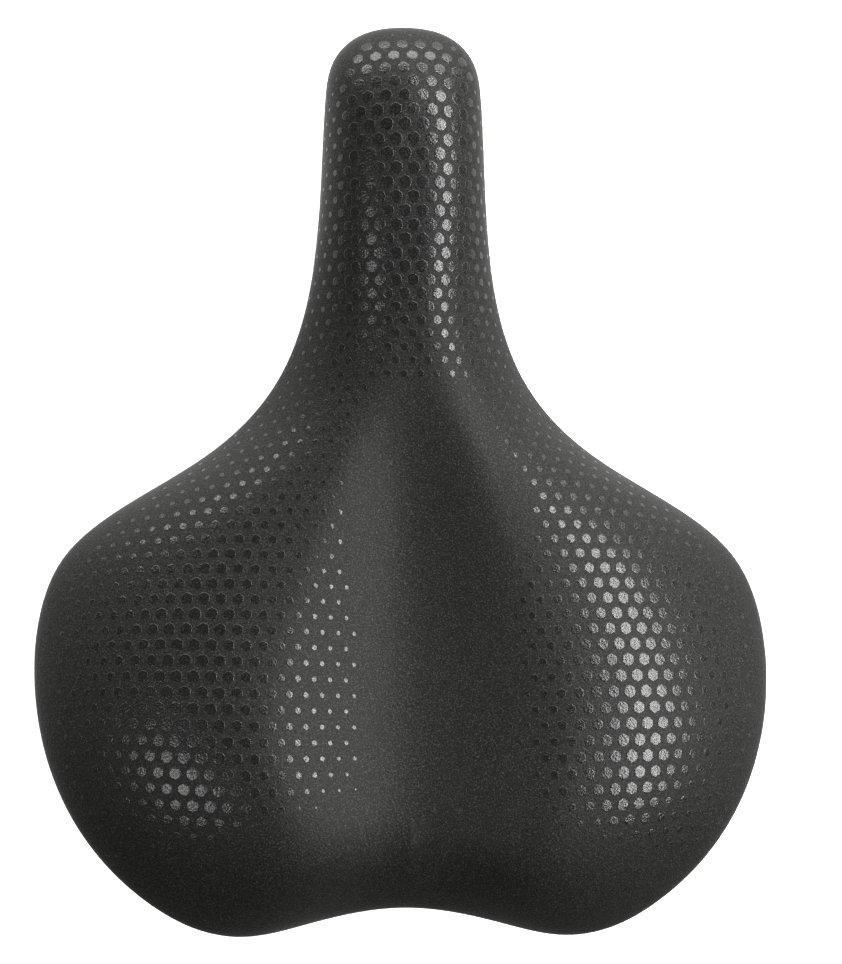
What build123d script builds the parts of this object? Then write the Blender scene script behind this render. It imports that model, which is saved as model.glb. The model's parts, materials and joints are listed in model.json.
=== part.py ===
from build123d import *

import math
import os

import numpy as np

# Wide comfort saddle for an upright city bicycle, in millimetres.
# The origin is where the seat post's head grips: midway between the two straight rail stretches, on their
# centre height. +Y points to the nose, +Z up, +X to the rider's right.
#
# How it comes apart: a foam pad with two gel inserts, covered by a bonded and stapled skin, sits on a moulded base.
# The base rocks on a rubber bush round the front bar of a bent-wire rail, and stands at the rear on two
# elastomer blocks, which a pressed steel bridge carries on the rail's two ends.

# ---- the seat's plan ----
NOSE_Y = 140.0
REAR_Y = -118.0
# Right half of the plan outline, from the tip of the nose round to the middle of the rear notch.
HALF_OUTLINE = [
    (0, NOSE_Y),
    (13.6, 137),
    (19.6, 130.9),
    (22.2, 119),
    (23.3, 97),
    (25.2, 73),
    (28.4, 56.5),
    (35.2, 39.8),
    (49.8, 22.7),
    (67, 11),
    (84.7, 0),
    (96.8, -11.6),
    (103, -26.8),
    (104.7, -45),
    (101.2, -68),
    (90.4, -90.5),
    (73.2, -108),
    (57.5, -116.3),
    (46.5, REAR_Y),
    (27, -114.3),
    (0, -110),
]

# ---- the seat's heights, each as (y, height) ----
SPINE_TOP = [(140, 66), (105, 69), (70, 67.5), (35, 64), (0, 62.5), (-40, 66), (-80, 71.5), (-118, 73)]
LOBE_RISE = [(140, 0), (75, 0), (40, 0.8), (0, 6.5), (-45, 11), (-85, 11), (-118, 9)]
LOBE_X = [(140, 12), (70, 16), (30, 20), (0, 27), (-25, 38), (-50, 45), (-85, 45), (-118, 40)]
SIDE_Z = [(140, 49), (90, 48), (40, 43), (0, 40), (-60, 49), (-118, 54)]
EDGE_Z = [(150, 37.5), (100, 35), (50, 33), (0, 33), (-60, 36), (-100, 40), (-130, 44)]
PAD_DEPTH = [(140, 15), (80, 16), (30, 17.5), (-30, 19.5), (-80, 21), (-118, 20)]
BASE_RISE = 0.3

# ---- how the pad turns over its edge: its width, and how far a dome replaces a quarter ellipse there ----
ROLL_WIDTH = [(140, 46), (60, 46), (25, 72), (0, 84), (-30, 76), (-60, 66), (-118, 60)]
DOME = [(140, 0), (90, 0), (50, 0.75), (25, 0.8), (0, 0.7), (-45, 0.6), (-118, 0.6)]
SPINE_FRONT_Y = 113.0
SPINE_REAR_Y = -84.0
ROLL_SHARE = 0.93
TUCK = 5.0

# ---- the seat's layers ----
SKIN = 1.5
HEM = 1.2
HEM_WIDTH = 9.0
BOND = 0.05
HEM_GAP = 0.3
SIDE_FOAM = 3.5
BASE_WALL = 3.0
BASE_ROLL = 8.0
GEL_DEPTH = 6.0
GEL_CENTRE = (52.0, -55.0)
GEL_HALF_AXES = (30.0, 44.0)
BELOW_EDGE = -2.0

# ---- ribs and bosses under the base ----
RIB = 2.5
RIB_X = 31.0
RIB_DEPTH = 6.0
RIB_FRONT_Y = 18.0
RIB_REAR_Y = -94.0
CROSS_RIB_Y = (-8.0, -45.0)
BOSS_RADIUS = 8.0
BOSS_TOP_Z = 51.5

# ---- the rail: one bent steel wire ----
RAIL_RADIUS = 3.5
RAIL_GAUGE = 44.0
CLAMP_CORNER_Y = 38.0
RAIL_REAR_Y = -90.0
RAIL_REAR_Z = 8.5
SWAN_NECK = 16.0
BAR_Y = 104.0
BAR_Z = 28.0
BAR_HALF = 17.0
NECK_BEND = 15.0
LEG_BEND = 20.0
BAR_BEND = 8.0

# ---- nose bearing: a rubber bush across the bar, in a block with a screwed cap ----
BUSH_RADIUS = 8.75
BUSH_LENGTH = 20.0
BUSH_BORE_CLEARANCE = 0.04
BUSH_FIT = 0.05
BUSH_END_PLAY = 0.1
BLOCK_HALF_WIDTH = 11.5
BLOCK_LENGTH = 40.0
BLOCK_TOP_Z = 51.0
CAP_DEPTH = 11.0
BAR_SLOT_RADIUS = 5.0
CAP_SCREW = 4.0
CAP_SCREW_SPREAD = 30.0

# ---- rear suspension ----
SUSPENSION_X = 58.0
SUSPENSION_Y = -73.0
BRIDGE_THICKNESS = 3.0
BRIDGE_WIDTH = 30.0
BRIDGE_FLANGE = 5.0
BRIDGE_FLANGE_WALL = 2.5
BRIDGE_FLANGE_HALF = 37.0
CUP_RADIUS = 18.0
CUP_WALL = 2.0
CUP_RIM = 4.0
ELASTOMER_RADIUS = 15.0
ELASTOMER_WAIST = 12.2
ELASTOMER_HEIGHT = 26.0
STUD = 6.0
STUD_GRIP = 6.0
NUT_FLATS = 10.0
NUT_HEIGHT = 5.0
WASHER_RADIUS = 6.5
WASHER_THICKNESS = 1.6
STRAP_WALL = 2.0
STRAP_WIDTH = 18.0
STRAP_REACH = 14.0
RIVET = 5.0
RIVET_SPREAD = 9.8
RIVET_HEAD = 2.0

# ---- accessory clip under the rear edge ----
CLIP_REAR_Y = -110.8
CLIP_FRONT_Y = -92.5
CLIP_HALF_WIDTH = 12.0
CLIP_TOP_Z = 38.0
CLIP_SEAT_TOP_Z = 49.5
CLIP_HEIGHT = 16.0
CLIP_SLOT = (16.0, 12.0, 6.0)
CLIP_FLANGE_HALF = 21.0
CLIP_FLANGE_REAR_Y = -95.4
CLIP_FLANGE_FRONT_Y = -85.0
CLIP_FLANGE_THICKNESS = 4.0
CLIP_SCREW = 3.5
CLIP_SCREW_X = 16.5
CLIP_SCREW_Y = -90.8

# ---- staples that hold the cover's hem ----
STAPLES_EACH_SIDE = 9
STAPLE_INSET = 11.5
STAPLE_CROWN = 9.0
STAPLE_LEG = 4.5
STAPLE_WIRE = 0.9

# ---- grid of the layers' surfaces ----
COLUMNS = 41
ROWS = 21

BRIDGE_BOTTOM_Z = RAIL_REAR_Z + RAIL_RADIUS
BRIDGE_TOP_Z = BRIDGE_BOTTOM_Z + BRIDGE_THICKNESS
ELASTOMER_BOTTOM_Z = BRIDGE_TOP_Z + CUP_WALL
ELASTOMER_TOP_Z = ELASTOMER_BOTTOM_Z + ELASTOMER_HEIGHT
UPPER_CUP_TOP_Z = ELASTOMER_TOP_Z + CUP_WALL


def smooth(knots, values, start_slope=None, end_slope=None):
    """A cubic spline through the values, as a function of the knots' variable."""
    t, v = np.asarray(knots, float), np.asarray(values, float)
    if t[0] > t[-1]:
        t, v = t[::-1], v[::-1]
    n, h = len(t), np.diff(t)
    a, b = np.zeros((n, n)), np.zeros(n)
    for i in range(1, n - 1):
        a[i, i - 1 : i + 2] = h[i - 1], 2 * (h[i - 1] + h[i]), h[i]
        b[i] = 6 * ((v[i + 1] - v[i]) / h[i] - (v[i] - v[i - 1]) / h[i - 1])
    a[0, 0] = a[-1, -1] = 1
    if start_slope is not None:
        a[0, :2] = 2 * h[0], h[0]
        b[0] = 6 * ((v[1] - v[0]) / h[0] - start_slope)
    if end_slope is not None:
        a[-1, -2:] = h[-1], 2 * h[-1]
        b[-1] = 6 * (end_slope - (v[-1] - v[-2]) / h[-1])
    bend = np.linalg.solve(a, b)

    def at(x):
        x = np.clip(np.asarray(x, float), t[0], t[-1])
        i = np.clip(np.searchsorted(t, x) - 1, 0, n - 2)
        p, q = t[i + 1] - x, x - t[i]
        return (
            (bend[i] * p**3 + bend[i + 1] * q**3) / (6 * h[i])
            + (v[i] / h[i] - bend[i] * h[i] / 6) * p
            + (v[i + 1] / h[i] - bend[i + 1] * h[i] / 6) * q
        )

    return at


def profile(pairs):
    return smooth([p[0] for p in pairs], [p[1] for p in pairs])


spine_top, lobe_rise, lobe_x = profile(SPINE_TOP), profile(LOBE_RISE), profile(LOBE_X)
side_z, edge_z, pad_depth = profile(SIDE_Z), profile(EDGE_Z), profile(PAD_DEPTH)
roll_width, dome = profile(ROLL_WIDTH), profile(DOME)


def outline(count):
    """Points at even steps round the right half of the plan, each with the spine point it fans out from."""
    p = np.array(HALF_OUTLINE, float)
    t = np.r_[0, np.cumsum(np.linalg.norm(np.diff(p, axis=0), axis=1))]
    s = np.linspace(0, t[-1], count)
    xy = np.c_[smooth(t, p[:, 0], 1, -1)(s), smooth(t, p[:, 1], 0, 0)(s)]
    xy[[0, -1], 0] = 0
    travel = np.abs(np.diff(xy[:, 1])) + 0.35 * np.abs(np.diff(xy[:, 0]))
    share = np.r_[0, np.cumsum(travel)] / travel.sum()
    return xy, np.c_[np.zeros(count), SPINE_FRONT_Y + (SPINE_REAR_Y - SPINE_FRONT_Y) * share]


def eased_minimum(a, b):
    """The smaller of two lengths, easing from one to the other where they are close."""
    return (a**-4.0 + b**-4.0) ** -0.25


def crown(plan, rise):
    """Height of a layer's top before it turns over its edge: a spine with a lobe on each side."""
    x, y = plan[:, 0], plan[:, 1]
    reach = np.clip(np.abs(x) / lobe_x(y), 0, 1)
    return spine_top(y) + rise * lobe_rise(y) * (1 - np.cos(math.pi * reach)) / 2


def layer(side, depth, roll_at, dome_at, shoulder_drop=None, lift=0.0, rise=1.0):
    """The closed right half of one nested layer of the seat.

    side is how far its edge lies inside the seat's own, depth how far its top lies under the seat's, roll_at
    the width of the turn over its edge and dome_at the dome's share in it, all three as functions of y, and
    lift how far its underside lies above the seat's lower edge.
    """
    xy, spine = outline(COLUMNS)
    toward = spine - xy
    toward /= np.linalg.norm(toward, axis=1)[:, None]
    rim = xy + toward * side
    reach = np.linalg.norm(rim - spine, axis=1)
    roll = eased_minimum(roll_at(xy[:, 1]), ROLL_SHARE * reach)
    domed = dome_at(xy[:, 1])
    bottom = edge_z(xy[:, 1])
    shoulder = side_z(xy[:, 1])
    if shoulder_drop is not None:
        shoulder = crown(rim, rise) - depth(rim[:, 1]) - shoulder_drop
    rows = [((1 - roll / reach) * share, 0.0, 0.0) for share in np.linspace(0, 1, 12)[:-1]]
    for angle in np.linspace(0, math.pi / 2, 25):
        over = domed * math.sin(angle) ** 2 + (1 - domed) * (1 - math.cos(angle))
        rows.append((1 - roll / reach * (1 - math.sin(angle)), over, 0.0))
    rows += [(np.ones(COLUMNS), 1.0, share) for share in np.linspace(0, 1, 12)[1:]]
    grid = []
    for along, over, share in rows:
        plan = spine + (rim - spine) * along[:, None]
        drop = share * (shoulder - bottom - lift)
        tucked = TUCK * (1 - np.cos(drop / (shoulder - bottom) * math.pi / 2))
        height = crown(plan, rise) - depth(plan[:, 1])
        plan = plan + toward * tucked[:, None]
        grid.append(np.c_[plan, height * (1 - over) + shoulder * over - drop])
    return half_solid(evened(np.array(grid).transpose(1, 0, 2)), spine)


def evened(grid):
    """The same columns of points, each with its points at even steps of its own length."""
    columns = []
    for column in grid:
        t = np.r_[0, np.cumsum(np.linalg.norm(np.diff(column, axis=0), axis=1))]
        even = np.linspace(0, t[-1], ROWS)
        columns.append(np.c_[tuple(np.interp(even, t, column[:, axis]) for axis in range(3))])
    return columns


def half_solid(columns, spine):
    """A closed solid: a surface over the columns, an underside that runs in to the spine, a middle wall."""
    steps = list(np.linspace(0, 1, ROWS))
    sections = []
    for column, (x, y) in zip(columns, spine):
        side = Edge.make_spline([Vector(*point) for point in column], parameters=steps)
        under = Edge.make_line(side @ 1, Vector(x, y, column[-1][2]))
        sections.append(Wire([side, under]))
    skin = Shell.make_loft(sections)
    rim = [edge for edge in skin.edges() if max(abs(edge.position_at(t).X) for t in (0, 0.3, 0.7, 1)) < 1e-5]
    return Solid(Shell(skin.faces() + [Face(Wire(rim))]))


def whole(half):
    return half + half.mirror(Plane.YZ)


def seat_skin(side, lift):
    """The seat's outer form, or the same form drawn in evenly by side."""
    return whole(layer(side, lambda y: 0 * y + side, lambda y: roll_width(y) - side, dome, lift=lift))


def base_layer(side, inside, roll):
    """A form that follows the base: side in from the seat's edge, and inside below the base's top."""
    return whole(
        layer(
            side, lambda y: pad_depth(y) + inside, lambda y: 0 * y + roll, lambda y: 0 * y,
            shoulder_drop=roll, lift=BELOW_EDGE, rise=BASE_RISE,
        )
    )


def base_form(inside):
    """The base's outer form for inside = 0, or its inner form one wall further in."""
    return base_layer(SKIN + SIDE_FOAM + inside, inside, BASE_ROLL - inside)


def hem_opening():
    return base_layer(HEM_WIDTH, SKIN, BASE_ROLL / 2)


def block(x0, x1, y0, y1, z0, z1):
    return Pos((x0 + x1) / 2, (y0 + y1) / 2, (z0 + z1) / 2) * Box(x1 - x0, y1 - y0, z1 - z0)


def rod(radius, z0, z1, x=0.0, y=0.0):
    return Pos(x, y, (z0 + z1) / 2) * Cylinder(radius, z1 - z0)


def rod_x(radius, half_length, y, z):
    return Pos(0, y, z) * Rot(0, 90, 0) * Cylinder(radius, 2 * half_length)


def rod_y(radius, y0, y1, z):
    return Pos(0, (y0 + y1) / 2, z) * Rot(90, 0, 0) * Cylinder(radius, y1 - y0)


def group(shapes):
    """Separate solids kept in one node."""
    return Compound(children=[solid for shape in shapes for solid in shape.solids()])


# ---- cover, foam and gel ----


def gel_pocket(inner, side):
    """Everything above the gel pads' underside, over one lobe."""
    x, y = GEL_CENTRE
    prism = Pos(side * x, y, 0) * extrude(Ellipse(*GEL_HALF_AXES), 100)
    return prism - inner


def cover(outer, lining, opening, staples):
    """The skin, with its hem turned under the foam and the base, and cut away round the nose block."""
    return outer - lining - opening - nose_block(HEM_GAP) - staples


def foam_pad(lining, base_outer, pockets):
    pad = lining - base_outer
    for pocket in pockets:
        pad = pad - pocket
    return pad


# ---- base ----


def rib_set():
    """Two long ribs and two cross ribs, as tall plates that the base's inner form trims."""
    plates = []
    for side in (-1, 1):
        x = side * RIB_X
        plates.append(block(x - RIB / 2, x + RIB / 2, RIB_REAR_Y, RIB_FRONT_Y, 0, 80))
    for y in CROSS_RIB_Y:
        plates.append(block(-RIB_X, RIB_X, y - RIB / 2, y + RIB / 2, 0, 80))
    return plates


def nose_pocket():
    """The bush's bore and the slot that the bar passes through, common to the block and its cap."""
    half = BUSH_LENGTH / 2 + BUSH_END_PLAY
    bore = rod_y(BUSH_RADIUS + BUSH_FIT, BAR_Y - half, BAR_Y + half, BAR_Z)
    return bore + rod_x(BAR_SLOT_RADIUS, BLOCK_HALF_WIDTH + 5, BAR_Y, BAR_Z)


def nose_screw_ys():
    return (BAR_Y - CAP_SCREW_SPREAD / 2, BAR_Y + CAP_SCREW_SPREAD / 2)


def nose_block(grown=0.0):
    half_width, half_length = BLOCK_HALF_WIDTH + grown, BLOCK_LENGTH / 2 + grown
    body = block(-half_width, half_width, BAR_Y - half_length, BAR_Y + half_length, BAR_Z, BLOCK_TOP_Z)
    return fillet(body.edges().filter_by(Axis.Z), 4)


def nose_cap():
    y0, y1 = BAR_Y - BLOCK_LENGTH / 2, BAR_Y + BLOCK_LENGTH / 2
    body = block(-BLOCK_HALF_WIDTH, BLOCK_HALF_WIDTH, y0, y1, BAR_Z - CAP_DEPTH, BAR_Z)
    body = fillet(body.edges().filter_by(Axis.Z), 4)
    body = fillet(body.faces().sort_by(Axis.Z)[0].edges(), 2)
    body = body - nose_pocket()
    for y in nose_screw_ys():
        body = body - rod(CAP_SCREW / 2 + 0.1, 0, BAR_Z + 1, y=y)
    return body


def screw(diameter, head_z, tip_z, x, y):
    """A pan-head screw driven upwards, with a hexagon socket in its head."""
    head = rod(diameter, head_z - 0.65 * diameter, head_z, x, y)
    head = fillet(head.edges().sort_by(Axis.Z)[0], 0.25 * diameter)
    socket = Pos(x, y, head_z - 0.65 * diameter) * extrude(RegularPolygon(0.36 * diameter, 6), 0.4 * diameter)
    return head + rod(diameter / 2, head_z, tip_z, x, y) - socket


def nose_cap_screws():
    return [screw(CAP_SCREW, BAR_Z - CAP_DEPTH, BAR_Z + 12, 0, y) for y in nose_screw_ys()]


def clip_screws():
    head_z = CLIP_TOP_Z - CLIP_FLANGE_THICKNESS
    return [screw(CLIP_SCREW, head_z, CLIP_TOP_Z + 8, side * CLIP_SCREW_X, CLIP_SCREW_Y) for side in (-1, 1)]


def base_shell(outer, inner, above_hem, screws, studs, staples):
    """A shell with ribs, a nose block, two suspension bosses and a seat for the rear clip."""
    bosses = [rod(BOSS_RADIUS, UPPER_CUP_TOP_Z, BOSS_TOP_Z, s * SUSPENSION_X, SUSPENSION_Y) for s in (-1, 1)]
    clip_seat = block(
        -CLIP_FLANGE_HALF, CLIP_FLANGE_HALF, CLIP_FLANGE_REAR_Y, CLIP_FLANGE_FRONT_Y, CLIP_TOP_Z, CLIP_SEAT_TOP_Z
    )
    shell = (outer & above_hem) - rib_cavity(inner)
    for boss in [*bosses, clip_seat, nose_block()]:
        shell = shell + boss
    shell = shell - nose_pocket()
    for fastener in [*screws, *studs]:
        shell = shell - fastener
    return shell - staples


def rib_cavity(inner):
    """The space inside the shell, with the ribs standing in its upper part."""
    lower = inner.moved(Location((0, 0, -RIB_DEPTH)))
    cavity = inner
    for plate in rib_set():
        cavity = cavity - (plate - lower)
    return cavity


# ---- nose bush and rail ----


def nose_bush():
    half = BUSH_LENGTH / 2
    bush = rod_y(BUSH_RADIUS, BAR_Y - half, BAR_Y + half, BAR_Z)
    return bush - rod_x(RAIL_RADIUS + BUSH_BORE_CLEARANCE, BUSH_RADIUS + 1, BAR_Y, BAR_Z)


def rail_wire():
    x = RAIL_GAUGE / 2
    neck_y = -CLAMP_CORNER_Y - SWAN_NECK
    right = [
        (x, RAIL_REAR_Y, RAIL_REAR_Z),
        (x, neck_y, RAIL_REAR_Z),
        (x, -CLAMP_CORNER_Y, 0),
        (x, CLAMP_CORNER_Y, 0),
        (BAR_HALF, BAR_Y, BAR_Z),
    ]
    bends = [NECK_BEND, NECK_BEND, LEG_BEND, BAR_BEND]
    left = [(-x, y, z) for x, y, z in reversed(right)]
    path = FilletPolyline(*right, *left, radius=[*bends, *reversed(bends)])
    start = Plane(origin=path @ 0, z_dir=path % 0)
    return sweep(start * Circle(RAIL_RADIUS), path)


# ---- rear suspension ----


def rear_bridge():
    """A pressed plate across the rail's ends, with a round pad under each cup and turned-up edges."""
    plate = block(
        -SUSPENSION_X, SUSPENSION_X, SUSPENSION_Y - BRIDGE_WIDTH / 2, SUSPENSION_Y + BRIDGE_WIDTH / 2,
        BRIDGE_BOTTOM_Z, BRIDGE_TOP_Z,
    )
    for side in (-1, 1):
        plate = plate + rod(CUP_RADIUS - 1, BRIDGE_BOTTOM_Z, BRIDGE_TOP_Z, side * SUSPENSION_X, SUSPENSION_Y)
    for edge, wall in ((-1, BRIDGE_FLANGE_WALL), (1, -BRIDGE_FLANGE_WALL)):
        y = SUSPENSION_Y + edge * BRIDGE_WIDTH / 2
        y0, y1 = sorted((y, y + wall))
        flange = block(
            -BRIDGE_FLANGE_HALF, BRIDGE_FLANGE_HALF, y0, y1, BRIDGE_BOTTOM_Z, BRIDGE_TOP_Z + BRIDGE_FLANGE
        )
        corners = flange.edges().filter_by(Axis.Y).group_by(Axis.Z)[-1]
        plate = plate + chamfer(corners, BRIDGE_FLANGE - 1)
    for x in rivet_xs():
        plate = plate - rod(RIVET / 2, 0, 30, x, SUSPENSION_Y)
    for side in (-1, 1):
        plate = plate - rod(STUD / 2 + 0.1, 0, 30, side * SUSPENSION_X, SUSPENSION_Y)
    return plate


def rivet_xs():
    x = RAIL_GAUGE / 2
    return [side * x + offset for side in (-1, 1) for offset in (-RIVET_SPREAD, RIVET_SPREAD)]


def rail_strap(side):
    """A strap that wraps the rail from below and lies flat against the bridge on both sides of it."""
    y0, y1 = SUSPENSION_Y - STRAP_WIDTH / 2, SUSPENSION_Y + STRAP_WIDTH / 2
    outer = RAIL_RADIUS + STRAP_WALL
    strap = rod_y(outer, y0, y1, RAIL_REAR_Z)
    strap = strap & block(-outer, outer, y0, y1, 0, RAIL_REAR_Z)
    strap = strap + block(-outer, outer, y0, y1, RAIL_REAR_Z, BRIDGE_BOTTOM_Z)
    strap = strap + block(-STRAP_REACH, STRAP_REACH, y0, y1, BRIDGE_BOTTOM_Z - STRAP_WALL, BRIDGE_BOTTOM_Z)
    channel = RAIL_RADIUS + 0.02
    strap = strap - rod_y(channel, y0 - 1, y1 + 1, RAIL_REAR_Z)
    strap = strap - block(-channel, channel, y0 - 1, y1 + 1, RAIL_REAR_Z, BRIDGE_BOTTOM_Z + 1)
    for offset in (-RIVET_SPREAD, RIVET_SPREAD):
        strap = strap - rod(RIVET / 2, 0, 30, offset, SUSPENSION_Y)
    return Pos(side * RAIL_GAUGE / 2, 0, 0) * strap


def bridge_rivets():
    rivets = []
    for x in rivet_xs():
        low, high = BRIDGE_BOTTOM_Z - STRAP_WALL, BRIDGE_TOP_Z
        rivet = rod(RIVET / 2, low, high, x, SUSPENSION_Y)
        head_radius = 0.75 * RIVET
        top = fillet(rod(head_radius, high, high + RIVET_HEAD, x, SUSPENSION_Y).edges().sort_by(Axis.Z)[-1], 1.5)
        tail = fillet(rod(head_radius, low - RIVET_HEAD, low, x, SUSPENSION_Y).edges().sort_by(Axis.Z)[0], 1.5)
        rivets.append(rivet + top + tail)
    return rivets


def cup(side, floor_z, up):
    """A pressed cup that centres an elastomer: its rim stands up from floor_z, or hangs down from it."""
    outer = rod(CUP_RADIUS, 0, CUP_WALL + CUP_RIM)
    inner = rod(CUP_RADIUS - CUP_WALL, CUP_WALL, CUP_WALL + CUP_RIM + 1)
    shell = outer - inner - rod(STUD / 2 + 0.1, -1, CUP_WALL + 1)
    if not up:
        shell = Rot(180, 0, 0) * shell
    return Pos(side * SUSPENSION_X, SUSPENSION_Y, floor_z) * shell


def elastomer(side):
    """A waisted block of urethane, bored at both ends for the studs bonded into it."""
    r, h = ELASTOMER_RADIUS, ELASTOMER_HEIGHT
    lip = 1.5
    outline_edges = [
        Line((0, 0), (r - lip, 0)),
        RadiusArc((r - lip, 0), (r, lip), -lip),
        Line((r, lip), (r, 6)),
        Spline([(r, 6), (ELASTOMER_WAIST, h / 2), (r, h - 6)], tangents=[(0, 1), (0, 1)]),
        Line((r, h - 6), (r, h - lip)),
        RadiusArc((r, h - lip), (r - lip, h), -lip),
        Line((r - lip, h), (0, h)),
        Line((0, h), (0, 0)),
    ]
    section = Plane.XZ * make_face(Curve() + outline_edges)
    solid = revolve(section, Axis.Z)
    solid = solid - rod(STUD / 2, -1, STUD_GRIP) - rod(STUD / 2, h - STUD_GRIP, h + 1)
    return Pos(side * SUSPENSION_X, SUSPENSION_Y, ELASTOMER_BOTTOM_Z) * solid


def stud(side, z0, z1):
    bolt = chamfer(rod(STUD / 2, z0, z1).edges().filter_by(GeomType.CIRCLE), 0.6)
    return Pos(side * SUSPENSION_X, SUSPENSION_Y, 0) * bolt


def lower_stud(side):
    tip_z = BRIDGE_BOTTOM_Z - WASHER_THICKNESS - NUT_HEIGHT - 2
    return stud(side, tip_z, ELASTOMER_BOTTOM_Z + STUD_GRIP)


def upper_stud(side):
    return stud(side, ELASTOMER_TOP_Z - STUD_GRIP, BOSS_TOP_Z - 1)


def washer(side):
    z1 = BRIDGE_BOTTOM_Z
    ring = rod(WASHER_RADIUS, z1 - WASHER_THICKNESS, z1) - rod(STUD / 2 + 0.1, 0, z1 + 1)
    return Pos(side * SUSPENSION_X, SUSPENSION_Y, 0) * ring


def nut(side):
    z1 = BRIDGE_BOTTOM_Z - WASHER_THICKNESS
    hexagon = extrude(RegularPolygon(NUT_FLATS / 2, 6, major_radius=False), NUT_HEIGHT)
    body = Pos(0, 0, z1 - NUT_HEIGHT) * hexagon - rod(STUD / 2, -5, z1 + 1)
    return Pos(side * SUSPENSION_X, SUSPENSION_Y, 0) * body


# ---- rear clip and staples ----


def rear_clip():
    """A moulded clip with a slot open to the rear, for a light or a small bag."""
    bottom = CLIP_TOP_Z - CLIP_HEIGHT
    body = block(-CLIP_HALF_WIDTH, CLIP_HALF_WIDTH, CLIP_REAR_Y, CLIP_FRONT_Y, bottom, CLIP_TOP_Z)
    body = fillet(body.edges().filter_by(Axis.Y).group_by(Axis.Z)[0], 3)
    flange = block(
        -CLIP_FLANGE_HALF, CLIP_FLANGE_HALF, CLIP_FLANGE_REAR_Y, CLIP_FLANGE_FRONT_Y,
        CLIP_TOP_Z - CLIP_FLANGE_THICKNESS, CLIP_TOP_Z,
    )
    body = body + fillet(flange.edges().filter_by(Axis.Z), 3)
    width, depth, height = CLIP_SLOT
    z = CLIP_TOP_Z - CLIP_HEIGHT / 2
    body = body - block(-width / 2, width / 2, CLIP_REAR_Y - 1, CLIP_REAR_Y + depth, z - height / 2, z + height / 2)
    for fastener in clip_screws():
        body = body - fastener
    return body


def staple(frame):
    """One wire staple: its crown lies along the hem and its legs go up into the base."""
    crown_bar = frame * Box(STAPLE_CROWN, STAPLE_WIRE, STAPLE_WIRE)
    for end in (-1, 1):
        offset = end * (STAPLE_CROWN - STAPLE_WIRE) / 2
        leg = Pos(offset, 0, STAPLE_LEG / 2) * Box(STAPLE_WIRE, STAPLE_WIRE, STAPLE_LEG)
        crown_bar = crown_bar + frame * leg
    return crown_bar


def cover_staples():
    """Staples at even steps round the hem, along the line where the base's rim backs it."""
    count = 12 * STAPLES_EACH_SIDE + 1
    xy, spine = outline(count)
    toward = spine - xy
    toward /= np.linalg.norm(toward, axis=1)[:, None]
    line = np.c_[xy + toward * STAPLE_INSET, edge_z(xy[:, 1])]
    staples = []
    for i in range(6, count, 12):
        along = Vector(*(line[i + 1] - line[i - 1]))
        across = Vector(0, 0, 1) - along * (along.Z / along.length**2)
        right = staple(Plane(origin=Vector(*line[i]), x_dir=along, z_dir=across))
        staples += [right, right.mirror(Plane.YZ)]
    return staples


def build():
    staples = cover_staples()
    staple_group = group(staples)
    outer = seat_skin(0.0, 0.0)
    lining = seat_skin(SKIN, HEM)
    gel_floor = seat_skin(SKIN + GEL_DEPTH, HEM)
    above_hem = seat_skin(0.0, HEM + BOND)
    base_outer, base_inner = base_form(0.0), base_form(BASE_WALL)
    pockets = {side: gel_pocket(gel_floor, side) for side in (-1, 1)}
    studs = [upper_stud(side) for side in (-1, 1)]
    screws = [*nose_cap_screws(), *clip_screws()]
    parts = {
        "cover": cover(outer, lining, hem_opening(), staple_group),
        "foam_pad": foam_pad(lining, base_outer, pockets.values()),
        "gel_pad_left": lining & pockets[-1],
        "gel_pad_right": lining & pockets[1],
        "base_shell": base_shell(base_outer, base_inner, above_hem, screws, studs, staple_group),
        "cover_staples": staple_group,
        "nose_bush": nose_bush(),
        "nose_cap": nose_cap(),
        "nose_cap_screws": group(nose_cap_screws()),
        "rail_wire": rail_wire(),
        "rear_bridge": rear_bridge(),
        "bridge_rivets": group(bridge_rivets()),
        "rear_clip": rear_clip(),
        "rear_clip_screws": group(clip_screws()),
        "upper_studs": group(studs),
        "lower_studs": group([lower_stud(side) for side in (-1, 1)]),
        "stud_washers": group([washer(side) for side in (-1, 1)]),
        "stud_nuts": group([nut(side) for side in (-1, 1)]),
    }
    for side, name in ((-1, "left"), (1, "right")):
        parts[f"rail_strap_{name}"] = rail_strap(side)
        parts[f"lower_cup_{name}"] = cup(side, BRIDGE_TOP_Z, up=True)
        parts[f"upper_cup_{name}"] = cup(side, UPPER_CUP_TOP_Z, up=False)
        parts[f"elastomer_{name}"] = elastomer(side)
    return parts


os.makedirs("parts", exist_ok=True)
for node, shape in build().items():
    export_step(shape, f"parts/{node}.step")
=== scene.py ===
import json
import math

import bpy
import numpy as np
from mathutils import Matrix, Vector
from mathutils.bvhtree import BVHTree
from mathutils.geometry import barycentric_transform


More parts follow.
